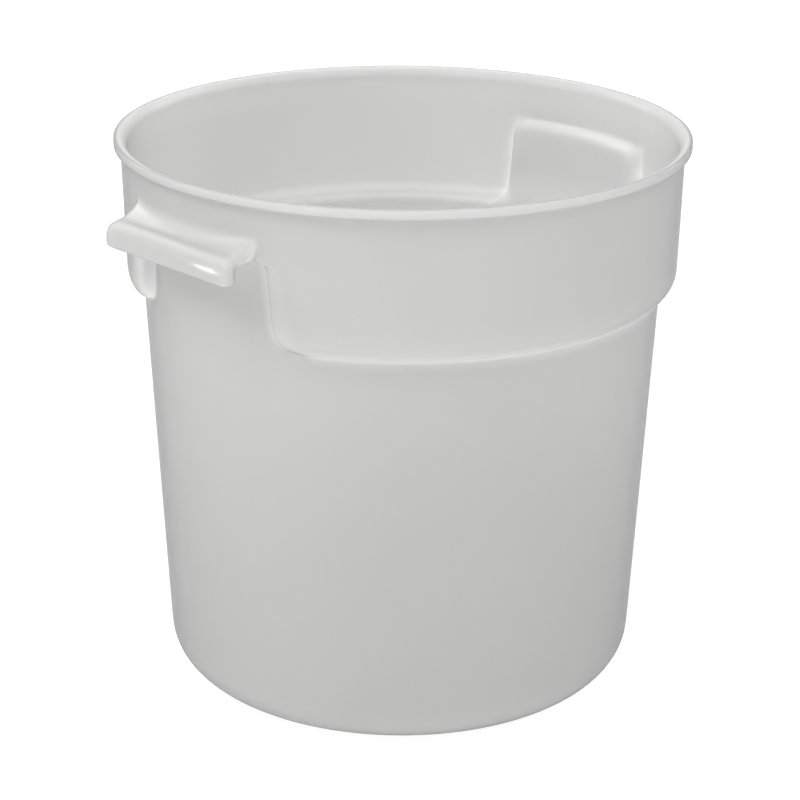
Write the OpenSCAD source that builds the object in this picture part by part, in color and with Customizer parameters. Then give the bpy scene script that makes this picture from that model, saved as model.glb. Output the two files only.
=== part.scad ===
// Round food storage container, open at the top, moulded in one piece of natural polyethylene.
// A tapered body, a wider collar under the rim and a hooked grip with a finger recess on each side.
// Millimetres, +Z up, the origin at the middle of the base, the grips on the X axis.

/* [Container] */
// Height from the table to the top of the rim
height = 266; // [230:1:320]
// Diameter over the rim
rim_d = 270; // [250:1:320]
// Thickness of the moulded wall
wall = 3; // [2.5:0.1:3.6]

/* [Rim] */
// How far the rim stands out past the collar
rim_overhang = 3.2; // [2.5:0.1:5]
// Height of the rim's upright outer face
rim_depth = 4.4; // [3:0.1:6]
// Radius of the rim's inner edge
rim_round = 5; // [3:0.1:6]
// Radius of the rim's two outer edges
rim_edge_round = 0.8; // [0.4:0.1:1.2]

/* [Collar] */
// Depth of the collar's straight side below the top of the rim
collar_depth = 61.9; // [56:0.1:75]
// Draft of the collar's side, in degrees
collar_draft = 1.35; // [0.5:0.05:2.5]
// Radius of the collar's lower corner
shoulder_round = 9.8; // [8:0.1:12]
// How far the body steps in from the collar
shoulder_step = 7.6; // [6:0.1:9]

/* [Stacking ledge] */
// Thickness of plastic between the ledge inside the shoulder and the crease outside
ledge_thickness = 6.5; // [4:0.1:9]
// Radius of the hollow corner above the ledge
ledge_hollow_round = 5.5; // [4.5:0.1:7]
// Radius of the ledge's edge
ledge_edge_round = 4.5; // [3.5:0.1:5]

/* [Body] */
// Draft of the body's side, in degrees
body_draft = 2.85; // [1:0.05:4]
// Radius of the corner between the side and the base
heel_round = 20.5; // [12:0.5:28]

/* [Base] */
// Thickness of the floor
floor_wall = 3.2; // [2.5:0.1:4.5]
// Width of the flat ring that it stands on, round the raised panel
ring_width = 8.4; // [4:0.1:20]
// Height that the panel is raised
panel_rise = 1.6; // [0.8:0.1:2.5]

/* [Grips] */
// Length of a grip from end to end
grip_length = 83; // [70:1:90]
// How far a grip stands out from the collar
grip_reach = 12; // [9:0.1:16]
// Depth of the grip's back edge below the top of the rim
grip_depth = 20; // [14:0.1:26]
// Fall of the grip's top from its back edge to the start of its round nose
grip_fall = 4; // [2:0.1:6]
// Radius of the grip's nose
grip_nose_round = 7.5; // [5:0.1:8]
// Height from the lip's lowest edge up to the grip's back edge
grip_height = 17; // [15:0.1:20]
// Thickness of the lip that hangs down at the front of a grip
lip_wall = 4.7; // [3.5:0.1:5.5]
// Height of the hollow behind the lip
lip_drop = 8.6; // [6:0.1:9.5]
// Radius of the grip's upright front corners
grip_corner_round = 9; // [5:0.1:14]

/* [Finger recesses] */
// Width of a recess across the collar, at its ceiling
recess_width = 83; // [72:1:92]
// Draft of a recess's sides, which stand further apart lower down, in degrees
side_draft = 4; // [0:0.5:8]
// Radius where a recess's side flares out into the foot of the shoulder
flare_round = 14; // [10:0.5:24]
// Radius of the corner between a recess's back and its ceiling
recess_back_round = 4; // [2:0.1:5]
// Radius of the recess's upper corners
recess_corner_round = 5; // [3:0.1:8]
// Thickness of plastic over the recess's ceiling
ceiling_wall = 7; // [5:0.1:9]
// Radius of the top edge of the block that a recess makes inside
block_round = 5.5; // [3:0.1:5.8]

/* [Hidden] */
$fn = 96;
natural_white = "#d6d6d4";
arc_steps = 8;
overrun = 1;
far_out = rim_d;
// Height of a recess's corner arcs above its flat top, so that the two cross instead of touching
corner_lift = 0.4;

// Collar
collar_top_r = rim_d / 2 - rim_overhang;
rim_inner_round = min(rim_round, wall + rim_overhang - rim_edge_round);
rim_z = height - max(rim_inner_round, rim_depth);
corner_z = height - collar_depth;
shoulder_c = [collar_r(corner_z) - shoulder_round / cos(collar_draft), corner_z];

// Body, from the crease at the shoulder's foot down to the heel
body_top_r = collar_r(corner_z) - shoulder_step;
foot_z = corner_z - sqrt(pow(shoulder_round, 2) - pow(body_top_r - shoulder_c.x, 2));
body_wall_in = wall / cos(body_draft);
collar_wall_in = wall / cos(collar_draft);

// Ledge inside the shoulder, where the hollow corner meets the rounded edge
hollow_z = foot_z + ledge_thickness + ledge_hollow_round;
hollow_c = [collar_r(hollow_z) - collar_wall_in - ledge_hollow_round / cos(collar_draft), hollow_z];
ledge_edge_x = body_r(foot_z) - body_wall_in + ledge_edge_round / cos(body_draft);
ledge_reach = ledge_hollow_round + ledge_edge_round;
ledge_c = [ledge_edge_x, hollow_z - sqrt(pow(ledge_reach, 2) - pow(ledge_edge_x - hollow_c.x, 2))];
ledge_turn = asin((ledge_c.x - hollow_c.x) / ledge_reach);
shoulder_z = max(hollow_z, corner_z);

// Heel, outside and inside
heel_c = [body_r(heel_round) - heel_round / cos(body_draft), heel_round];
heel_in_round = heel_round - wall;
heel_in_z = floor_wall + heel_in_round;
heel_in_c = [body_r(heel_in_z) - body_wall_in - heel_in_round / cos(body_draft), heel_in_z];
heel_z = max(heel_round, heel_in_z);
panel_slope = 2 * panel_rise;
panel_r = heel_c.x - ring_width - panel_slope;

// Grip, measured along X from the axis
grip_z = height - grip_depth;
grip_root_x = collar_r(grip_z);
grip_nose_x = grip_root_x + grip_reach;
grip_low_z = grip_z - grip_height;
ceiling_z = grip_low_z + lip_drop;
lip_round = lip_wall / 2;
grip_back_x = sqrt(pow(grip_root_x, 2) - pow(grip_length / 2, 2));

// Recess: the angle that half its width takes at its ceiling, and that of the block inside
recess_turn = asin(recess_width / 2 / grip_root_x);
block_turn = recess_turn + asin(wall / grip_root_x);
block_z = ceiling_z + ceiling_wall;

// Outer radius of the collar at a height
function collar_r(z) = collar_top_r - (height - z) * tan(collar_draft);

// Outer radius of the body at a height, also carried up behind the collar
function body_r(z) = body_top_r - (foot_z - z) * tan(body_draft);

// How far a recess's side has moved out at a height, by its draft
function side_shift(z) = (ceiling_z - z) * tan(side_draft);

// Point at an angle round a centre
function polar(centre, radius, angle) = centre + radius * [cos(angle), sin(angle)];

// Points along an arc
function arc(centre, radius, from, to) =
    [for (i = [0:arc_steps]) polar(centre, radius, from + (to - from) * i / arc_steps)];

// Lower corner of the collar, from its side round to the crease
function shoulder_arc() =
    arc(shoulder_c, shoulder_round, -collar_draft, -acos((body_top_r - shoulder_c.x) / shoulder_round));

module rim_profile() {
    outer_r = rim_d / 2;
    inner_r = collar_r(rim_z) - collar_wall_in;
    low_z = height - rim_depth;
    edge = rim_edge_round;
    polygon(concat(
        [[collar_r(rim_z), rim_z], [inner_r, rim_z]],
        arc([inner_r + rim_inner_round, height - rim_inner_round], rim_inner_round, 180, 90),
        arc([outer_r - edge, height - edge], edge, 90, 0),
        arc([outer_r - edge, low_z + edge], edge, 0, -90),
        [[collar_r(low_z), low_z]]
    ));
}

module collar_profile() {
    polygon([
        [collar_r(shoulder_z), shoulder_z],
        [collar_r(rim_z), rim_z],
        [collar_r(rim_z) - collar_wall_in, rim_z],
        [collar_r(shoulder_z) - collar_wall_in, shoulder_z]
    ]);
}

module shoulder_profile() {
    polygon(concat(
        [[collar_r(shoulder_z), shoulder_z]],
        shoulder_arc(),
        [[body_r(foot_z) - body_wall_in, foot_z]],
        arc(ledge_c, ledge_edge_round, 180, 90 + ledge_turn),
        arc(hollow_c, ledge_hollow_round, ledge_turn - 90, 0),
        [[collar_r(shoulder_z) - collar_wall_in, shoulder_z]]
    ));
}

module body_profile() {
    polygon([
        [body_r(heel_z), heel_z],
        [body_r(foot_z), foot_z],
        [body_r(foot_z) - body_wall_in, foot_z],
        [body_r(heel_z) - body_wall_in, heel_z]
    ]);
}

module heel_profile() {
    polygon(concat(
        [[body_r(heel_z), heel_z]],
        arc(heel_c, heel_round, -body_draft, -90),
        [[panel_r + panel_slope, 0], [panel_r, panel_rise], [panel_r, panel_rise + floor_wall]],
        [[panel_r + panel_slope, floor_wall]],
        arc(heel_in_c, heel_in_round, -90, -body_draft),
        [[body_r(heel_z) - body_wall_in, heel_z]]
    ));
}

// A full turn whose seam lies midway between the grips
module turned() {
    rotate([0, 0, 90])
        rotate_extrude()
            children();
}

// Filled outline of the collar and the shoulder
module outer_form() {
    turned()
        polygon(concat(
            [[0, foot_z], [0, rim_z], [collar_r(rim_z), rim_z]],
            shoulder_arc()
        ));
}

// Space outside the body's side carried up behind the collar, under a ceiling with a rounded corner
module recess_profile(wall_in, top_z, round) {
    round_z = top_z - round;
    centre = [body_r(round_z) - wall_in + round / cos(body_draft), round_z];
    polygon(concat(
        [[body_r(foot_z) - wall_in, foot_z], [far_out, foot_z], [far_out, top_z]],
        arc(centre, round, 90, 180 - body_draft)
    ));
}

// Everything on the inner side of one side of a recess, flared out at the foot and rounded in at the top
module side_form(top_z, corner_round, flare_radius) {
    flare_z = foot_z + flare_round;
    flare_x = side_shift(flare_z - flare_radius * sin(side_draft)) + flare_radius * cos(side_draft);
    round_z = top_z + corner_lift - corner_round;
    round_x = side_shift(round_z + corner_round * sin(side_draft)) - corner_round * cos(side_draft);
    rotate([90, 0, 90])
        linear_extrude(height = far_out)
            polygon(concat(
                [[-far_out, foot_z - overrun], [flare_x, foot_z - overrun]],
                arc([flare_x, flare_z], flare_radius, -90, side_draft - 180),
                arc([round_x, round_z], corner_round, side_draft, 90),
                [[-far_out, top_z + corner_lift]]
            ));
}

// Form of one recess at +X, between two sides that run out from the axis
module recess_form(turn, wall_in, top_z, back_round, corner_round, flare_radius) {
    intersection() {
        rotate([0, 0, -90])
            rotate_extrude(angle = 180)
                recess_profile(wall_in, top_z, back_round);
        rotate([0, 0, turn])
            side_form(top_z, corner_round, flare_radius);
        mirror([0, 1, 0])
            rotate([0, 0, turn])
                side_form(top_z, corner_round, flare_radius);
    }
}

// The open space of a recess
module recess_space() {
    recess_form(recess_turn, 0, ceiling_z, recess_back_round, recess_corner_round, flare_round);
}

// The block that a recess makes inside, with its space still filled
module recess_block() {
    corner_round = recess_corner_round + wall;
    recess_form(block_turn, body_wall_in, block_z, block_round, corner_round, flare_round - wall);
}

// Places its children at +X and again at -X
module on_both_sides() {
    for (turn = [0, 180])
        rotate([0, 0, turn])
            children();
}

module finger_recess() {
    difference() {
        intersection() {
            outer_form();
            recess_block();
        }
        recess_space();
    }
}

// Section of a grip: a falling top, a round nose and a lip that hangs down in front of a hollow
module grip_profile() {
    nose_c = [grip_nose_x - grip_nose_round, grip_z - grip_fall - grip_nose_round];
    lip_c = [grip_nose_x - lip_round, grip_low_z + lip_round];
    hollow_corner_c = [grip_nose_x - lip_wall - lip_round, ceiling_z - lip_round];
    polygon(concat(
        [[grip_back_x - overrun, ceiling_z], [grip_back_x - overrun, grip_z], [grip_back_x, grip_z]],
        arc(nose_c, grip_nose_round, 90, 0),
        arc(lip_c, lip_round, 0, -180),
        arc(hollow_corner_c, lip_round, 0, 90)
    ));
}

// Outline of a grip from above, with its two front corners rounded
module grip_plan() {
    corner = [grip_nose_x - grip_corner_round, grip_length / 2 - grip_corner_round];
    translate([0, -grip_length / 2])
        square([corner.x, grip_length]);
    translate([0, -corner.y])
        square([grip_nose_x, 2 * corner.y]);
    for (side = [-1, 1])
        translate([corner.x, side * corner.y])
            circle(r = grip_corner_round);
}

module grip() {
    difference() {
        intersection() {
            rotate([90, 0, 0])
                linear_extrude(height = grip_length, center = true)
                    grip_profile();
            linear_extrude(height = height)
                grip_plan();
        }
        outer_form();
    }
}

module rim() {
    color(natural_white)
        turned()
            rim_profile();
}

module collar() {
    color(natural_white)
        difference() {
            turned()
                collar_profile();
            on_both_sides()
                recess_block();
        }
}

module shoulder() {
    color(natural_white)
        difference() {
            turned()
                shoulder_profile();
            on_both_sides()
                recess_block();
        }
}

module body_wall() {
    color(natural_white)
        turned()
            body_profile();
}

module base_heel() {
    color(natural_white)
        turned()
            heel_profile();
}

module floor_panel() {
    color(natural_white)
        translate([0, 0, panel_rise])
            cylinder(h = floor_wall, r = panel_r);
}

module left_grip() {
    color(natural_white)
        rotate([0, 0, 180])
            grip();
}

module right_grip() {
    color(natural_white)
        grip();
}

module left_finger_recess() {
    color(natural_white)
        rotate([0, 0, 180])
            finger_recess();
}

module right_finger_recess() {
    color(natural_white)
        finger_recess();
}

rim();
collar();
shoulder();
body_wall();
base_heel();
floor_panel();
left_grip();
right_grip();
left_finger_recess();
right_finger_recess();
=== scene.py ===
import math

import bmesh
import bpy
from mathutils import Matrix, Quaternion, Vector


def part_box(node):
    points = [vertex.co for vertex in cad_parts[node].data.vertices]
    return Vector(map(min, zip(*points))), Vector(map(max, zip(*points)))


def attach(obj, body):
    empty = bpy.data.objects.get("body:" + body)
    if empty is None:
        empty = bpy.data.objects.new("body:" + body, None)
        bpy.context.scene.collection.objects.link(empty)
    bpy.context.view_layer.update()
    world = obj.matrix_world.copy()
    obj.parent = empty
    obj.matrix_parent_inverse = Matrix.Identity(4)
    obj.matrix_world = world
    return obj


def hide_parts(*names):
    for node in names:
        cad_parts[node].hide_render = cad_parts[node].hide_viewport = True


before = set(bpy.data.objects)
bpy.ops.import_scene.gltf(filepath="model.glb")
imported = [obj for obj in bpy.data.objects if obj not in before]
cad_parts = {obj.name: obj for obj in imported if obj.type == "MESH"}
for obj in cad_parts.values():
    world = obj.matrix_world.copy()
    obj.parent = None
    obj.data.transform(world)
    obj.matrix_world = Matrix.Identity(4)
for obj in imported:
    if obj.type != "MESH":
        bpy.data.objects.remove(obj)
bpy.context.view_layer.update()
print("frame loaded:", ", ".join(sorted(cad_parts)))

mm = 0.001
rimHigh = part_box("rim")[1]
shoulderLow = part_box("shoulder")[0]
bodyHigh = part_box("body_wall")[1]
panelLow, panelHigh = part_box("floor_panel")
gripLow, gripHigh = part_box("right_grip")
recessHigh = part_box("right_finger_recess")[1]

# The moulding's wall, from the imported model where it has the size
shell = {
    "topZ": rimHigh.z,
    "rimRadius": rimHigh.x,
    "rimOverhang": 3.2 * mm,
    "rimDepth": 4.4 * mm,
    "rimRound": 5 * mm,  # inner edge
    "rimEdge": 0.8 * mm,  # outer edges
    "wall": 3 * mm,
    "collarDraft": math.radians(1.35),
    "bodyDraft": math.radians(2.85),
    "cornerZ": rimHigh.z - 61.9 * mm,  # where the collar's side turns into the shoulder
    "shoulderRound": 9.8 * mm,
    "footZ": shoulderLow.z,  # crease between shoulder and body
    "bodyTopRadius": bodyHigh.x,
    "ledgeThickness": 6.5 * mm,
    "hollowRound": 5.5 * mm,
    "ledgeRound": 4.5 * mm,
    "heelRound": 20.5 * mm,
    "panelRadius": panelHigh.x,
    "panelRise": panelLow.z,
    "floorWall": panelHigh.z - panelLow.z,
}

# Rows of the section: how many each stretch has, and how far from an edge the rows lie that keep
# it tight
rowPlan = {
    "heel": 8,
    "body": 8,
    "shoulder": 6,
    "collar": 8,
    "band": 4,  # the grips grow out of these
    "upper": 4,
    "rimEdge": 2,
    "rimIn": 7,
    "inside": 4,
    "block": 10,
    "ledge": 5,
    "panelShares": (0.4, 0.75),
    "panelEdge": 2 * mm,
    "ringEdge": 1.5 * mm,
    "underFoot": 2.2 * mm,
    "underCeiling": 1.3 * mm,
    "underRim": 0.7 * mm,
    "besideRim": 0.8 * mm,
    "overBlock": 1.8 * mm,
    "rimSlack": 0.13 * mm,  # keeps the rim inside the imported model's box
}

# Upright mesh lines in a quarter turn, from a grip's middle to halfway between the grips
lines = {
    "gripEnd": math.radians(17.6),
    "gripSteps": 6,
    "cornerSteps": 5,
    "recessSide": math.radians(18.87),
    "gripSpread": math.radians(1.1),  # a grip's end is wider where it grows out of the collar
    "spreadGrows": 5 * mm,  # above the ceiling
    "spreadFades": 9 * mm,  # above the grip's back
    "pastSide": [math.radians(a) for a in (0.7, 1.9, 3.7, 6.2)],
    "plainSteps": 16,
    "warpEnd": math.radians(64),  # past this the flare moves no line
    "relax": 60 * mm,  # height over which the lines straighten again below the foot
}

grip = {
    "noseX": gripHigh.x,
    "noseRound": 7.5 * mm,
    "backX": gripLow.x,
    "backZ": gripHigh.z,
    "fall": 4.6 * mm,
    "noseHalf": 43.6 * mm,
    "cornerHigh": 6.5 * mm,  # rounding of the nose's two ends, seen from above
    "cornerLow": 4.5 * mm,
    "endDrop": 2.4 * mm,  # the top falls a little towards the grip's two ends
    "lipRise": 2.6 * mm,  # and the lip gets shorter there
    "endFillet": 1.6 * mm,
    "filletFade": 1.6,
    "besideWall": (0.9 * mm, 0.7 * mm),  # top's first row: out from the collar, and above its slope
    "topMiddle": (0.55, 0.5 * mm),  # second row: share of the way to the nose, and above the slope
    "noseTurns": (90, 74, 58),
    "ceilingShares": (0.15, 0.5, 0.82, 1),
    "lipWall": 4.7 * mm,
    "lipDrop": 8.9 * mm,
    "lipShares": (0.36, 0.66, 0.87, 1),
    "lipEnd": 1 * mm,  # lip's thickness at its very end
    "lipTuck": 1.3 * mm,
    "ceilingZ": recessHigh.z - 7 * mm,
    "fillet": 3.2 * mm,  # hollow corner between a grip's top and the collar
}

recess = {
    "turn": math.radians(18.43),  # where the side's crease starts, under the ceiling
    "draft": math.radians(4),
    "footRound": 14 * mm,
    "roll": shell["shoulderRound"],  # the collar rolls into the recess as it does into the shoulder
    "rollSteps": 4,
    "margin": 1 * mm,
    "marginRise": 10 * mm,  # height above the foot corner over which the margin shrinks to that
    "fade": 9 * mm,  # height under the ceiling over which the roll grows to its full width
    "support": 2 * mm,
    "ceilingShares": [0, 0.2, 0.5, 0.8, 0.96, 1],
    "insets": [0, 0, 0, 0.3 * mm, 0.9 * mm, 2.8 * mm],
    "sideInset": 0.5,  # share of the insets that the ceiling's row moves sideways
    "cornerCut": 1.3 * mm,
    "squeeze": 19 * mm,  # height over which the back's rows make room for its top corner
}

block = {
    "topZ": recessHigh.z,
    "turn": math.radians(19.74),
    "flareRound": 11 * mm,
    "turns": [math.radians(a) for a in (0, 20, 43, 67, 90)],  # round its front edges
    "edgeRound": 6.5 * mm,
    "cornerRounds": [8 * mm, 7.7 * mm, 6.6 * mm, 4.8 * mm, 2.8 * mm],
    "fullDepth": 6.3 * mm,
    "squeeze": 22 * mm,
}


def collarRadius(z):
    top = shell["rimRadius"] - shell["rimOverhang"]
    return top - (shell["topZ"] - z) * math.tan(shell["collarDraft"])


def bodyRadius(z):
    return shell["bodyTopRadius"] - (shell["footZ"] - z) * math.tan(shell["bodyDraft"])


def arc(centre, radius, start, end, steps):
    turns = [math.radians(start + (end - start) * i / steps) for i in range(steps + 1)]
    return [(centre[0] + radius * math.cos(a), centre[1] + radius * math.sin(a)) for a in turns]


def between(low, high, steps):
    return [low + (high - low) * i / steps for i in range(steps + 1)]


def mix(a, b, share):
    return a + (b - a) * share


# Section of the wall as (radius, height), from under the base round the rim to the floor,
# and the row each stretch starts on, or its last row where the stretch is added row by row
def wallSection():
    s, plan = shell, rowPlan
    wallIn = s["wall"] / math.cos(s["bodyDraft"])
    collarIn = s["wall"] / math.cos(s["collarDraft"])
    points, marks = [], {}

    def add(name, *more):
        marks[name] = len(points)
        points.extend(more)

    panel, rise = s["panelRadius"], s["panelRise"]
    ringIn = panel + 2 * rise
    heelX = bodyRadius(s["heelRound"]) - s["heelRound"] / math.cos(s["bodyDraft"])
    panelRadii = [0, *(panel * share for share in plan["panelShares"])]
    panelRadii += [panel - plan["panelEdge"], panel]
    add("underside", *((radius, rise) for radius in panelRadii))
    add("ring", (mix(panel, ringIn, 0.5), rise * 0.5), (ringIn, 0), (ringIn + plan["ringEdge"], 0))
    bodyTurn = -math.degrees(s["bodyDraft"])
    add("heel", *arc((heelX, s["heelRound"]), s["heelRound"], -90, bodyTurn, plan["heel"]))
    for z in between(s["heelRound"], s["footZ"], plan["body"])[1:-1]:
        add("body", (bodyRadius(z), z))
    bodyTopZ = s["footZ"] - plan["underFoot"]
    add("bodyTop", (bodyRadius(bodyTopZ), bodyTopZ))
    turn = s["shoulderRound"]
    turnX = collarRadius(s["cornerZ"]) - turn / math.cos(s["collarDraft"])
    footTurn = -math.degrees(math.acos((s["bodyTopRadius"] - turnX) / turn))
    sideTurn = -math.degrees(s["collarDraft"])
    shoulder = arc((turnX, s["cornerZ"]), turn, footTurn, sideTurn, plan["shoulder"])
    add("foot", shoulder[0], *shoulder[2:])
    for z in between(s["cornerZ"], grip["ceilingZ"] - plan["underCeiling"], plan["collar"])[1:]:
        add("collar", (collarRadius(z), z))
    bandTop = grip["backZ"] + grip["fillet"]
    for z in between(grip["ceilingZ"], bandTop, plan["band"]):
        add("band", (collarRadius(z), z))
    marks["ceiling"] = marks["band"] - plan["band"]
    low = s["topZ"] - s["rimDepth"]
    for z in between(bandTop, low - plan["underRim"], plan["upper"])[1:]:
        add("upper", (collarRadius(z), z))
    edge, outer = s["rimEdge"], s["rimRadius"] - plan["rimSlack"]
    add("rim", (collarRadius(low), low), (collarRadius(low) + plan["besideRim"], low))
    add("rimLow", *arc((outer - edge, low + edge), edge, -90, 0, plan["rimEdge"]))
    add("rimHigh", *arc((outer - edge, s["topZ"] - edge), edge, 0, 90, plan["rimEdge"]))
    roundZ = s["topZ"] - s["rimRound"]
    inner = collarRadius(roundZ) - collarIn
    add("rimIn", *arc((inner + s["rimRound"], roundZ), s["rimRound"], 90, 180, plan["rimIn"])[1:])
    for z in between(roundZ, block["topZ"] + plan["overBlock"], plan["inside"])[1:]:
        add("inside", (collarRadius(z) - collarIn, z))
    hollowZ = s["footZ"] + s["ledgeThickness"] + s["hollowRound"]
    for z in between(block["topZ"], hollowZ, plan["block"])[:-1]:
        add("blockRow", (collarRadius(z) - collarIn, z))
    marks["blockTop"] = marks["blockRow"] - (plan["block"] - 1)
    hollowX = collarRadius(hollowZ) - collarIn - s["hollowRound"] / math.cos(s["collarDraft"])
    ledgeX = bodyRadius(s["footZ"]) - wallIn + s["ledgeRound"] / math.cos(s["bodyDraft"])
    reach = s["hollowRound"] + s["ledgeRound"]
    ledgeZ = hollowZ - math.sqrt(reach ** 2 - (ledgeX - hollowX) ** 2)
    ledgeTurn = math.degrees(math.asin((ledgeX - hollowX) / reach))
    add("ledge", *arc((hollowX, hollowZ), s["hollowRound"], 0, ledgeTurn - 90, plan["ledge"]))
    add("ledgeEdge", *arc((ledgeX, ledgeZ), s["ledgeRound"], 90 + ledgeTurn, 180, plan["ledge"])[1:])
    add("blockFoot", (bodyRadius(s["footZ"]) - wallIn, s["footZ"]))
    floor = s["floorWall"]
    heelIn = s["heelRound"] - s["wall"]
    heelInX = bodyRadius(floor + heelIn) - wallIn - heelIn / math.cos(s["bodyDraft"])
    for z in between(s["footZ"], floor + heelIn, plan["body"])[1:-1]:
        add("bodyIn", (bodyRadius(z) - wallIn, z))
    add("heelInside", *arc((heelInX, floor + heelIn), heelIn, bodyTurn, -90, plan["heel"]))
    add("floor", (ringIn, floor), (mix(panel, ringIn, 0.5), floor + rise * 0.5), (panel, floor + rise))
    add("panel", *((radius, floor + rise) for radius in panelRadii[-2::-1]))
    return points, marks


# Angles of the upright mesh lines over a quarter turn, and which of them a grip and a recess end on
def uprightLines():
    n = lines
    wallRadius = collarRadius(grip["ceilingZ"])
    cornerStart = wallRadius * math.sin(n["gripEnd"]) - grip["cornerHigh"]
    widths = between(0, cornerStart, n["gripSteps"])
    for degrees in between(0, 90, n["cornerSteps"])[1:]:
        widths.append(cornerStart + grip["cornerHigh"] * math.sin(math.radians(degrees)))
    angles = [math.asin(width / wallRadius) for width in widths]
    gripLine = len(angles) - 1
    angles.append(n["recessSide"])
    angles += [n["recessSide"] + a for a in n["pastSide"]]
    angles += between(angles[-1], math.pi / 2, n["plainSteps"])[1:]
    return angles, gripLine


gripForm, recessForm, blockForm = 1, 2, 3
growSteps = {gripForm: 5, recessForm: 5, blockForm: 4}
mergeWithin = 0.02 * mm

section, marks = wallSection()
angles, gripLine = uprightLines()
sideLine = gripLine + 1
quarter = len(angles) - 1
print("section of", len(section), "points, turned in", 4 * quarter, "steps")


def eased(share):
    share = min(1, max(0, share))
    return share * share * (3 - 2 * share)


# How far outwards the draft has moved a recess's side at a height
def sideShift(z):
    return (grip["ceilingZ"] - z) * math.tan(recess["draft"])


cornerZ = shell["footZ"] + recess["footRound"]  # centre of a recess's foot corners
cornerX = sideShift(cornerZ) + recess["footRound"]
footDepth = collarRadius(shell["footZ"]) - bodyRadius(shell["footZ"])
rollWidth = recess["roll"] * math.sin(math.acos(1 - footDepth / recess["roll"]))
cornerInner = recess["footRound"] - rollWidth


# Width that the roll has at a height, as a share: it ends in the corner under the ceiling
def rollShare(z):
    left = 1 - min(1, max(0, (grip["ceilingZ"] - z) / recess["fade"]))
    return math.sqrt(1 - left * left)


# Outer edge of the roll beside a recess, as a distance from the crease's line under the ceiling
def rollEdge(z):
    if z <= cornerZ:
        return cornerX
    margin = mix(cornerInner, recess["margin"], eased((z - cornerZ) / recess["marginRise"]))
    return sideShift(z) + rollWidth * rollShare(z) + margin


# A step down the roll on one row: distance from the same line, and share of the recess's depth
def rollStep(row, step):
    r = recess
    z = section[row][1]
    share = min(1, step / r["rollSteps"])
    inner = r["support"] if step > r["rollSteps"] else 0
    if row == marks["foot"]:
        return cornerX, 1
    depth = min(footDepth, collarRadius(z) - bodyRadius(z))
    most = math.acos(1 - depth / r["roll"])
    started = max(0, cornerZ - z - cornerInner)
    first = min(most, math.asin(min(1, started / r["roll"])))
    turn = mix(first, most, share)
    away = r["roll"] * math.sin(turn)
    down = (math.cos(first) - math.cos(turn)) / (math.cos(first) - math.cos(most))
    if z < cornerZ:
        reach = (cornerInner + away) ** 2 - (cornerZ - z) ** 2
        return cornerX - math.sqrt(max(0, reach)) - inner, down
    shift = sideShift(z)
    x = cornerX - sideShift(cornerZ) - cornerInner - away
    return shift + x * rollShare(z) - inner, down


# Angle of a recess's side, or of its block's, on a given row
def sideAngle(row):
    radius, z = section[row]
    plain = lines["recessSide"]
    if not marks["heel"] < row < marks["heelInside"]:
        return plain
    if marks["ceiling"] < row < marks["rim"]:
        grown = eased((z - grip["ceilingZ"]) / lines["spreadGrows"])
        left = 1 - eased((z - grip["backZ"]) / lines["spreadFades"])
        return plain + lines["gripSpread"] * (grown * left)
    if marks["rim"] <= row < marks["inside"]:
        return mix(plain, block["turn"], (row - marks["rim"]) / (marks["inside"] - marks["rim"]))
    sideZ = max(z, shell["footZ"])
    if row < marks["rim"]:
        angle = recess["turn"] + math.asin(rollEdge(sideZ) / radius)
    else:
        size = block["flareRound"]
        rise = min(size, max(0, cornerZ - z))
        flare = sideShift(sideZ) + size - math.sqrt(size ** 2 - rise ** 2)
        angle = block["turn"] + math.asin(flare / radius)
    return mix(angle, plain, eased((shell["footZ"] - z) / lines["relax"]))


# Share by which a row spaces its lines evenly, as the inside does
def evenness(row):
    return min(1, max(0, (row - marks["rim"]) / (marks["inside"] - marks["rim"])))


# Angle of a line on a ring whose recess or block ends at the angle side
def lineAngle(line, side, even):
    plain, recessSide, warpEnd = angles[line], lines["recessSide"], lines["warpEnd"]
    if line <= sideLine:
        return side * mix(plain / recessSide, line / sideLine, even)
    if plain < warpEnd:
        return mix(side, warpEnd, (plain - recessSide) / (warpEnd - recessSide))
    return plain


# Widens a ring a little, as much as the subdivision later draws it in
def widened(radius, line, side, even):
    low = lineAngle(line - 1, side, even) if line else -lineAngle(1, side, even)
    if line < quarter:
        high = lineAngle(line + 1, side, even)
    else:
        high = math.pi - lineAngle(line - 1, side, even)
    return radius * (1 + ((high - low) / 2) ** 2 / 8)


def placed(radius, angle, z):
    return radius * math.cos(angle), radius * math.sin(angle), z


# Moves a point of a block's border onto its rounded corner: u from the side, v from the top
def onCorner(u, v, size, onSide, onTop):
    if onSide and v < size:
        turn = math.radians(45) * (1 + v / size)
    elif onTop and u < size:
        turn = math.radians(45) * (1 - u / size)
    else:
        return u, v
    return size - size * math.sin(turn), size - size * math.cos(turn)


# A point of the wall itself, inside or outside
def wallPoint(row, line):
    radius, z = section[row]
    side, even = sideAngle(row), evenness(row)
    angle = lineAngle(line, side, even)
    onSide, onTop = line == sideLine, row == marks["blockTop"]
    if row == marks["ceiling"] and onSide:
        z -= recess["cornerCut"]
        angle -= recess["cornerCut"] / radius
    if marks["blockTop"] <= row < marks["blockFoot"] and line <= sideLine and (onSide or onTop):
        size = block["cornerRounds"][0]
        u, v = onCorner((side - angle) * radius, block["topZ"] - z, size, onSide, onTop)
        angle = side - u / radius
        radius += (block["topZ"] - v - z) * math.tan(shell["collarDraft"])
        z = block["topZ"] - v
    return placed(widened(radius, line, side, even), angle, z)


# A row's height on a sunk face whose top edge is inset
def squeezed(z, top, inset, span):
    if z <= top - span:
        return z
    return top - span + (z - top + span) * (span - inset) / span


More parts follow.
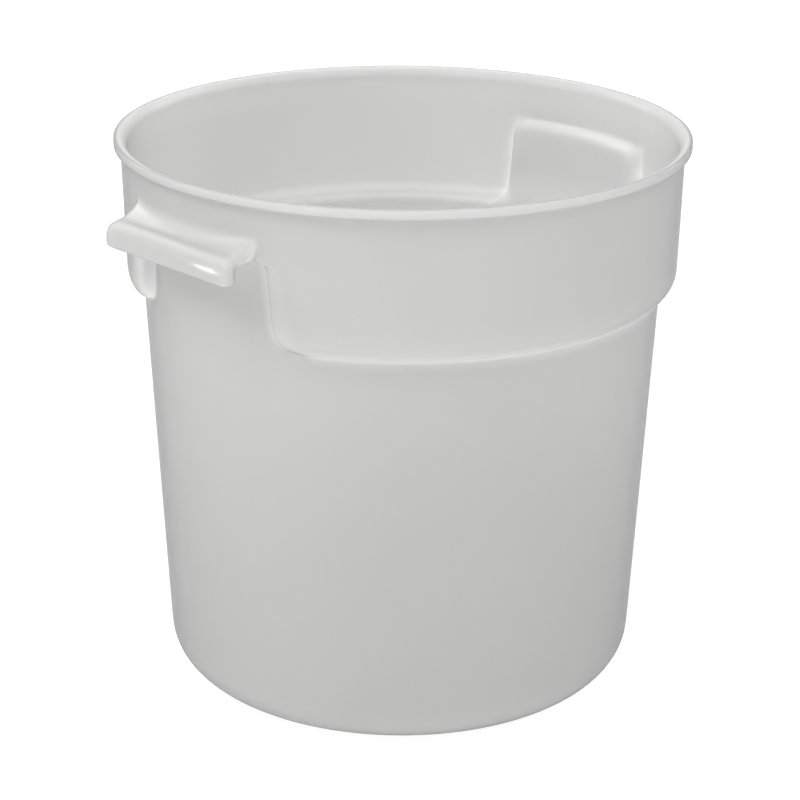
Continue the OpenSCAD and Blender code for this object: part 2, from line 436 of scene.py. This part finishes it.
# A point of a finger recess's skin, step by step from its edge to its back
def recessPoint(row, line, step):
    radius, z = section[row]
    x, down = rollStep(row, step)
    if row == marks["ceiling"]:
        down = recess["ceilingShares"][step]
        x = mix(recess["margin"], 0, min(1, step / recess["rollSteps"]))
        x -= recess["insets"][step] * recess["sideInset"]
    inset = recess["insets"][step] * min(1, (z - shell["footZ"]) / recess["squeeze"])
    cut = recess["cornerCut"] if row == marks["ceiling"] and line == sideLine else 0
    z = squeezed(z, grip["ceilingZ"], inset, recess["squeeze"]) - cut
    radius = mix(radius, bodyRadius(z), down)
    side = recess["turn"] + math.asin(x / radius)
    angle = lineAngle(line, side, 0) - cut / radius
    return placed(widened(radius, line, side, 0), angle, z)


# A point of the block that the recess makes inside, step by step from the wall to its face
def blockPoint(row, line, step):
    radius, z = section[row]
    wallIn = shell["wall"] / math.cos(shell["bodyDraft"])
    turn = block["turns"][step]
    full = min(1, (radius - bodyRadius(z) + wallIn) / block["fullDepth"])
    inset = block["edgeRound"] * (1 - math.cos(turn)) * full
    z = squeezed(z, block["topZ"], inset, block["squeeze"])
    side = sideAngle(row) - inset / radius
    angle = lineAngle(line, side, 1)
    top = block["topZ"] - inset
    onSide, onTop = line == sideLine, row == marks["blockTop"]
    if onSide or onTop:
        u, v = onCorner((side - angle) * radius, top - z, block["cornerRounds"][step], onSide, onTop)
        angle, z = side - u / radius, top - v
    radius = mix(radius, bodyRadius(z) - wallIn, math.sin(turn))
    return placed(widened(radius, line, side, 1), angle, z)


# Nose of a grip at one upright line: distance from the middle, and how far its corner draws it in
def noseAt(line, cornerRound):
    turn = math.radians(90) * max(0, line - lines["gripSteps"]) / lines["cornerSteps"]
    straight = grip["noseHalf"] - cornerRound
    y = straight * min(1, line / lines["gripSteps"]) + cornerRound * math.sin(turn)
    return y, cornerRound * (1 - math.cos(turn))


# Height of a grip's sloping top
def gripTopZ(x):
    arcX = grip["noseX"] - grip["noseRound"]
    return grip["backZ"] - grip["fall"] * (x - grip["backX"]) / (arcX - grip["backX"])


# A point of a grip's skin: row of the band that it grew from, upright line, step outwards and,
# on the lip, step down
def gripPoint(row, line, step, drop):
    g = grip
    wallX, wallY = wallPoint(row, line)[:2]
    share = (marks["band"] - row) / rowPlan["band"]  # 0 at the band's top, 1 at the ceiling
    noseY, drawn = noseAt(line, mix(g["cornerHigh"], g["cornerLow"], share))
    turned = 1 - math.cos(math.radians(90) * max(0, line - lines["gripSteps"]) / lines["cornerSteps"])
    noseX = g["noseX"] - drawn
    arcX = noseX - g["noseRound"]
    arcZ = g["backZ"] - g["fall"] - g["noseRound"]

    def nose(degrees):
        a = math.radians(degrees)
        return arcX + g["noseRound"] * math.cos(a), arcZ + g["noseRound"] * math.sin(a)

    (nearX, nearRise), (middleShare, middleRise) = g["besideWall"], g["topMiddle"]
    middleX = mix(wallX, arcX, middleShare)
    high, front, brow = g["noseTurns"]
    tops = [
        (wallX + nearX, min(gripTopZ(wallX), g["backZ"]) + nearRise),
        (middleX, gripTopZ(middleX) + middleRise),
        nose(high),
        nose(front),
    ]
    lipX = min(g["noseX"] - g["lipWall"], noseX - g["lipEnd"])
    undersides = [(mix(wallX, lipX, a), g["ceilingZ"]) for a in g["ceilingShares"]]
    if step < growSteps[gripForm]:
        top, low = tops[step - 1], undersides[step - 1]
        x, z = mix(top[0], low[0], share), mix(top[1], low[1], share)
    else:
        ceilingTurn = math.degrees(math.asin((g["ceilingZ"] - arcZ) / g["noseRound"]))
        x, z = nose(mix(brow, ceilingTurn, share))
    if drop:
        z = g["ceilingZ"] - (g["lipDrop"] - g["lipRise"] * turned) * g["lipShares"][drop - 1]
        tuck = min(g["lipTuck"], (noseX - lipX) / 3) if drop == len(g["lipShares"]) else 0
        x = noseX - tuck if step == growSteps[gripForm] else lipX + tuck
    baseY = wallY - g["endFillet"] * turned * max(0, 1 - g["filletFade"] * share)
    y = mix(baseY, noseY, min(1, (x - wallX) / (noseX - wallX)))
    if not drop:
        z -= g["endDrop"] * turned * (1 - share)
    return x, y, z


# Painted light: how much of the coat's edge-on darkening is taken off, so that creases, hollow
# corners, edges, the rim and the inside are drawn lighter; tuples go by step, dictionaries by row or
# line
paintedLightShares = {
    "foot": {0: 0.8, 1: 0.7, 2: 0.3},  # rows above the crease under the collar
    "footLines": 3,  # lines beside a recess over which that grows
    "rimIn": 0.7,
    "inside": 0.5,
    "insideRows": (4, 7),  # first rows inside that keep the rim's share, and rows of the change
    "gripEnd": (0, 1, 0.9, 0.5, 0.2, 0),
    "gripTop": (0, 0.6, 0.2, 0, 0, 0),
    "recessEdge": (0, 0.2, 0.5, 0.85, 0.8, 0.3),
    "besideRecess": 0.1,
    "blockEdge": (0, 1, 0.7, 0.5, 0.5),
    "besideBlock": {0: 1, 1: 0.7},
}

# Painted shade: how much darker the plastic is drawn inside, of the rim's 1
paintedShadeShares = {
    "inside": 0.36,
    "insideRows": (2, 5),
}


# Share of the way from the rim's rows to those inside
def insideShare(row, kept, change):
    return eased((row - marks["rimIn"] - kept) / change)


# How much painted light a point gets: in hollow corners and creases, where light gathers, and on the
# rim and inside
def paintedLightShare(row, line, form, step):
    c = paintedLightShares
    atSide, atTop = line == sideLine, row == marks["blockTop"]
    paintedInsideLight = 0
    if row >= marks["rimIn"]:
        paintedInsideLight = mix(c["rimIn"], c["inside"], insideShare(row, *c["insideRows"]))
    if form == gripForm:
        return c["gripEnd" if line >= gripLine - 1 else "gripTop"][step]
    if form == recessForm:
        return c["recessEdge"][step] if atSide or row == marks["ceiling"] else 0
    if form == blockForm:
        return c["blockEdge"][step] if atSide or atTop else c["inside"]
    if marks["blockTop"] <= row <= marks["blockFoot"]:
        return c["besideBlock"].get(line - sideLine, paintedInsideLight)
    if atSide and marks["foot"] < row <= marks["ceiling"]:
        return c["besideRecess"]
    foot = c["foot"].get(row - marks["foot"], 0)
    return max(foot * min(1, max(0, line - sideLine) / c["footLines"]), paintedInsideLight)


# How much painted shade a row gets: most on the rim's top, and less inside
def paintedShadeShare(row):
    if row <= marks["rimHigh"]:
        return 0
    if row < marks["inside"]:
        return mix(1, paintedShadeShares["inside"], insideShare(row, *paintedShadeShares["insideRows"]))
    return paintedShadeShares["inside"]


# Turns the section into a closed shell and grows the grips, recesses and blocks out of its faces
def makeContainer():
    bm = bmesh.new()
    rowOf, lineOf = bm.verts.layers.int.new("row"), bm.verts.layers.int.new("line")
    formOf, stepOf, dropOf = (bm.verts.layers.int.new(name) for name in ("form", "step", "drop"))
    chain = []
    for row, (radius, z) in enumerate(section):
        vert = bm.verts.new((radius, 0, z))
        vert[rowOf] = row
        chain.append(vert)
    edges = [bm.edges.new(pair) for pair in zip(chain, chain[1:])]
    around = 4 * quarter
    bmesh.ops.spin(bm, geom=chain + edges, cent=(0, 0, 0), axis=(0, 0, 1), angle=math.tau,
                   steps=around, use_merge=True)
    for vert in bm.verts:
        if 0 < vert[rowOf] < len(section) - 1:
            vert[lineOf] = round(math.atan2(vert.co.y, vert.co.x) / math.tau * around)

    def fromEnd(line, end):
        return line if end == 1 else line % around - 2 * quarter

    def region(top, low, line, end):
        picked = []
        for face in bm.faces:
            rows = [v[rowOf] for v in face.verts]
            widest = max(abs(fromEnd(v[lineOf], end)) for v in face.verts)
            if min(top, low) <= min(rows) and max(rows) <= max(top, low) and widest <= line:
                picked.append(face)
        return picked

    def grow(faces, mark):
        made = bmesh.ops.extrude_face_region(bm, geom=faces)["geom"]
        bmesh.ops.delete(bm, geom=faces, context="FACES")
        for item in made:
            if isinstance(item, bmesh.types.BMVert):
                mark(item)
        return [item for item in made if isinstance(item, bmesh.types.BMFace)]

    # Sorted, so that the same points are merged on every run
    def inOrder():
        def sortBy(items, key):
            for rank, item in enumerate(sorted(items, key=key)):
                item.index = rank
            items.sort()

        sortBy(bm.verts, lambda v: [v[layer] for layer in (rowOf, lineOf, formOf, stepOf, dropOf)])
        sortBy(bm.edges, lambda edge: sorted(v.index for v in edge.verts))
        sortBy(bm.faces, lambda face: sorted(v.index for v in face.verts))

    for end in (1, -1):
        regions = {
            gripForm: region(marks["band"], marks["ceiling"], gripLine, end),
            recessForm: region(marks["ceiling"], marks["foot"], sideLine, end),
            blockForm: region(marks["blockTop"], marks["blockFoot"], sideLine, end),
        }
        for form, faces in regions.items():
            for step in range(1, growSteps[form] + 1):
                def mark(vert):
                    vert[formOf], vert[stepOf] = form, step
                faces = grow(faces, mark)
        lip = []
        last = growSteps[gripForm]
        for face in bm.faces:
            atCeiling = all(v[formOf] == gripForm and v[rowOf] == marks["ceiling"] for v in face.verts)
            atFront = {v[stepOf] for v in face.verts} == {last - 1, last}
            if atCeiling and atFront and not any(v[dropOf] for v in face.verts):
                lip.append(face)
        for drop in range(1, len(grip["lipShares"]) + 1):
            def mark(vert):
                vert[dropOf] = drop
            lip = grow(lip, mark)

    # Layer "inner" holds painted shade and layer "clear" holds painted light, both read by the
    # material
    paintedShadeOf, paintedLightOf = (bm.verts.layers.float.new(name) for name in ("inner", "clear"))
    for vert in bm.verts:
        row, line, form = vert[rowOf], vert[lineOf], vert[formOf]
        # Painted shade for each row; painted light for each point further down
        vert[paintedShadeOf] = paintedShadeShare(row)
        if row in (0, len(section) - 1):
            continue
        towards = 1 if abs(line) <= quarter else -1
        side = 1 if line >= 0 else -1
        near = abs(line) if towards == 1 else 2 * quarter - abs(line)
        if form == 0:
            x, y, z = wallPoint(row, near)
        elif form == gripForm:
            x, y, z = gripPoint(row, near, vert[stepOf], vert[dropOf])
        elif form == recessForm:
            x, y, z = recessPoint(row, near, vert[stepOf])
        else:
            x, y, z = blockPoint(row, near, vert[stepOf])
        vert.co = (x * towards, y * side, z)
        vert[paintedLightOf] = paintedLightShare(row, near, form, vert[stepOf])
    inOrder()
    meeting = bmesh.ops.find_doubles(bm, verts=bm.verts, dist=mergeWithin)["targetmap"]
    groups = {}  # points that meet keep the mean of their values
    for vert, kept in meeting.items():
        groups.setdefault(kept, [kept]).append(vert)
    for kept, group in groups.items():
        kept[paintedLightOf] = math.fsum(vert[paintedLightOf] for vert in group) / len(group)
    bmesh.ops.weld_verts(bm, targetmap=meeting)
    inOrder()
    bmesh.ops.recalc_face_normals(bm, faces=bm.faces)
    for face in bm.faces:
        face.smooth = True
    loose = sum(not e.is_manifold for e in bm.edges)
    print("container:", len(bm.faces), "faces,", loose, "open edges")
    mesh = bpy.data.meshes.new("container")
    bm.to_mesh(mesh)
    bm.free()
    container = bpy.data.objects.new("container", mesh)
    bpy.context.scene.collection.objects.link(container)
    smooth = container.modifiers.new("smooth", "SUBSURF")
    smooth.levels = smooth.render_levels = 1
    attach(container, "root")
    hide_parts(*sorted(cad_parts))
    return container


container = makeContainer()


# One output of a shader node, so that sums can be written as sums
class Wire:
    def __init__(self, tree, socket):
        self.tree, self.socket = tree, socket

    def node(self, kind, settings=(), **inputs):
        made = self.tree.nodes.new(kind)
        for name, value in dict(settings).items():
            setattr(made, name, value)
        for name, value in inputs.items():
            place = made.inputs[int(name[1:]) if name[1:].isdigit() else name]  # i0 is the first input
            if isinstance(value, Wire):
                self.tree.links.new(value.socket, place)
            else:
                place.default_value = value
        return made

    def maths(self, operation, first, second):
        made = self.node("ShaderNodeMath", {"operation": operation}, i0=first, i1=second)
        return Wire(self.tree, made.outputs[0])

    def __add__(self, other):
        return self.maths("ADD", self, other)

    def __radd__(self, other):
        return self.maths("ADD", other, self)

    def __sub__(self, other):
        return self.maths("SUBTRACT", self, other)

    def __rsub__(self, other):
        return self.maths("SUBTRACT", other, self)

    def __mul__(self, other):
        return self.maths("MULTIPLY", self, other)

    def out(self, made, name=0):
        return Wire(self.tree, made.outputs[name])


polyethylene = {
    "pale": (0.8, 0.8, 0.795, 1),
    "deep": (0.77, 0.77, 0.765, 1),
    # multiplied in as painted shade on the rim's top and the inside
    "paintedShadeTint": (0.76, 0.76, 0.76, 1),
    "roughness": 0.24,
    "flowSize": 9,  # cloudy streaks of the moulding, per metre
    "flowDetail": 3,
    "flowRough": 0.06,
    "grainSize": 900,
    "grainDetail": 2,
    "grainRough": 0.05,
    "grainStrength": 0.12,
    "grainDepth": 0.0002,
    "ior": 1.22,  # low, so that the white surroundings don't light the edges
    "spread": 0.012,  # distance that light travels inside the wall
    "coatIor": 1.02,
    "coatRoughness": 0.2,
    "coatTint": (0.815, 0.815, 0.815, 1),  # darkens the wall where it is seen edge on
}


# Natural polyethylene: cloudy, satin, darker where the wall is seen edge on, with painted shade on the
# rim's top and inside and painted light in creases and hollow corners
def makePolyethylene():
    p = polyethylene
    material = bpy.data.materials.new("naturalPolyethylene")
    material.use_nodes = True
    tree = material.node_tree
    shader = tree.nodes["Principled BSDF"]
    start = Wire(tree, None)
    place = start.out(start.node("ShaderNodeTexCoord"), "Object")

    def noise(scale, detail):
        made = place.node("ShaderNodeTexNoise", Vector=place, Scale=scale, Detail=detail)
        return place.out(made, "Fac")

    flow = noise(p["flowSize"], p["flowDetail"])
    grain = noise(p["grainSize"], p["grainDetail"])
    colour = flow.node("ShaderNodeMix", {"data_type": "RGBA"}, Factor=flow, i6=p["deep"], i7=p["pale"])
    # Painted shade from the "inner" layer darkens the colour; painted light from the "clear" layer
    # takes the coat's darkening off
    paintedShade = start.out(start.node("ShaderNodeAttribute", {"attribute_name": "inner"}), "Fac")
    paintedLight = start.out(start.node("ShaderNodeAttribute", {"attribute_name": "clear"}), "Fac")
    shade = start.node("ShaderNodeMix", {"data_type": "RGBA", "blend_type": "MULTIPLY"}, Factor=paintedShade,
                       i6=start.out(colour, 2), i7=p["paintedShadeTint"])
    tree.links.new(shade.outputs[2], shader.inputs["Base Color"])
    coat = 1 - paintedLight
    tree.links.new(coat.socket, shader.inputs["Coat Weight"])
    rough = p["roughness"] + (flow - 0.5) * p["flowRough"] + (grain - 0.5) * p["grainRough"]
    tree.links.new(rough.socket, shader.inputs["Roughness"])
    bump = grain.node("ShaderNodeBump", Strength=p["grainStrength"], Distance=p["grainDepth"],
                      Height=grain)
    tree.links.new(bump.outputs[0], shader.inputs["Normal"])
    constants = {
        "IOR": p["ior"],
        "Subsurface Weight": 1,
        "Subsurface Radius": (1, 1, 1),
        "Subsurface Scale": p["spread"],
        "Coat IOR": p["coatIor"],
        "Coat Roughness": p["coatRoughness"],
        "Coat Tint": p["coatTint"],
    }
    for name, value in constants.items():
        shader.inputs[name].default_value = value
    return material


container.data.materials.append(makePolyethylene())
print("material made")


# Fitted to the photo's outline
cameraSizes = {
    "place": (-0.7482, -0.7904, 0.54405),
    "aim": (-0.0004, 0.00038, 0.13078),
    "lens": 107.415,
    "sensor": 36,
    "roll": math.radians(0.42),
}


def makeCamera():
    data = bpy.data.cameras.new("camera")
    camera = bpy.data.objects.new("camera", data)
    bpy.context.scene.collection.objects.link(camera)
    data.sensor_width = cameraSizes["sensor"]
    data.lens = cameraSizes["lens"]
    camera.location = cameraSizes["place"]
    look = Vector(cameraSizes["aim"]) - camera.location
    camera.rotation_mode = "QUATERNION"
    roll = Quaternion((0, 0, 1), cameraSizes["roll"])
    camera.rotation_quaternion = look.to_track_quat("-Z", "Y") @ roll
    bpy.context.scene.camera = camera


makeCamera()


stage = {
    "ambient": 0.07,
    "tableGlow": 0.43,  # light that comes up through the table
    "floorHalf": 6,
    "lampDistance": 1.9,
    "lampAim": (0, 0, 0.13),  # middle of the container
    "glintDistance": 0.42,
    "glintSize": 0.006,
    "glintCone": math.radians(1.3),
    "floorColour": (0.9, 0.9, 0.9, 1),
    "seenColour": (0.3, 0.3, 0.3, 1),
    "seenGlow": 0.88,
}

# Lamps: angle round from the camera's side, to the picture's right; height angle; size; watts
lamps = {
    "front": (0, 52, 1, 1.3),
    "frontLeft": (-45, 55, 1, 13.2),
    "frontRight": (45, 55, 1, 6.5),
    "left": (-87, 38, 0.5, 6.5),
    "right": (87, 38, 1, 4.3),
    "top": (0, 88, 1, 4.8),
    "backLeft": (-130, 35, 1, 11.8),
    "backRight": (130, 35, 1, 12.9),
}

# Small lamps that only show in the gloss of a grip's corner: point lit, direction to the lamp,
# watts
glints = {
    "glintTop": ((-0.1401, -0.0384, 0.2398), (-0.061, 0.515, 0.855), 10),
    "glintLow": ((-0.1432, -0.0309, 0.2345), (-0.666, 0.745, -0.038), 9),
    "glintEnd": ((-0.1409, -0.0425, 0.2364), (-0.633, -0.711, 0.306), 10),
}


def makeLamp(name, place, away, kind, watts):
    data = bpy.data.lights.new(name, kind)
    data.energy = watts
    lamp = bpy.data.objects.new(name, data)
    bpy.context.scene.collection.objects.link(lamp)
    lamp.location = place
    lamp.rotation_mode = "QUATERNION"
    lamp.rotation_quaternion = away.to_track_quat("Z", "Y")
    lamp.visible_camera = False
    return lamp


# 1 for the rays that see the white ground and backdrop, 0 for those that light the container
def seenRays(wire):
    path = wire.node("ShaderNodeLightPath")
    kinds = ("Camera", "Glossy", "Transmission")
    camera, gloss, passing = (wire.out(path, f"Is {kind} Ray") for kind in kinds)
    return camera + gloss + passing


# A white studio: what the camera and the gloss see is a white ground, which keeps the
# container's shadow
def makeStage():
    bm = bmesh.new()
    bmesh.ops.create_grid(bm, x_segments=1, y_segments=1, size=stage["floorHalf"])
    mesh = bpy.data.meshes.new("floor")
    bm.to_mesh(mesh)
    bm.free()
    floor = bpy.data.objects.new("floor", mesh)
    bpy.context.scene.collection.objects.link(floor)
    material = bpy.data.materials.new("studioFloor")
    material.use_nodes = True
    tree = material.node_tree
    tree.nodes.clear()
    wire = Wire(tree, None)
    plain = wire.out(wire.node("ShaderNodeBsdfDiffuse", Color=stage["floorColour"]))
    shaded = wire.out(wire.node("ShaderNodeBsdfDiffuse", Color=stage["seenColour"]))
    glow = wire.out(wire.node("ShaderNodeEmission", Color=(1, 1, 1, 1), Strength=stage["seenGlow"]))
    ground = wire.out(wire.node("ShaderNodeAddShader", i0=shaded, i1=glow))
    table = wire.out(wire.node("ShaderNodeEmission", Color=(1, 1, 1, 1), Strength=stage["tableGlow"]))
    lit = wire.out(wire.node("ShaderNodeAddShader", i0=plain, i1=table))
    both = wire.out(wire.node("ShaderNodeMixShader", i0=seenRays(wire), i1=lit, i2=ground))
    wire.node("ShaderNodeOutputMaterial", Surface=both)
    mesh.materials.append(material)
    world = bpy.data.worlds.new("studio")
    bpy.context.scene.world = world
    world.use_nodes = True
    tree = world.node_tree
    wire = Wire(tree, None)
    back = tree.nodes["Background"]
    back.inputs["Color"].default_value = (1, 1, 1, 1)
    seen = seenRays(wire)
    strength = wire.node("ShaderNodeMix", {"data_type": "FLOAT"}, i0=seen, i2=stage["ambient"], i3=1.0)
    tree.links.new(strength.outputs[0], back.inputs["Strength"])
    eye = Vector(cameraSizes["place"])
    for name, (turn, height, size, watts) in lamps.items():
        around = math.atan2(eye.y, eye.x) + math.radians(turn)
        rise = math.radians(height)
        flat = math.cos(rise)
        away = Vector((flat * math.cos(around), flat * math.sin(around), math.sin(rise)))
        place = away * stage["lampDistance"] + Vector(stage["lampAim"])
        lamp = makeLamp(name, place, away, "AREA", watts)
        lamp.data.shape = "DISK"
        lamp.data.size = size
    for name, (lit, away, watts) in glints.items():
        away = Vector(away).normalized()
        lamp = makeLamp(name, Vector(lit) + away * stage["glintDistance"], away, "SPOT", watts)
        lamp.data.shadow_soft_size = stage["glintSize"]
        lamp.data.spot_size = stage["glintCone"]
        lamp.data.spot_blend = 1
        lamp.visible_diffuse = False


makeStage()
print("stage set with", len(lamps) + len(glints), "lamps")
bpy.context.scene.view_settings.view_transform = "Standard"
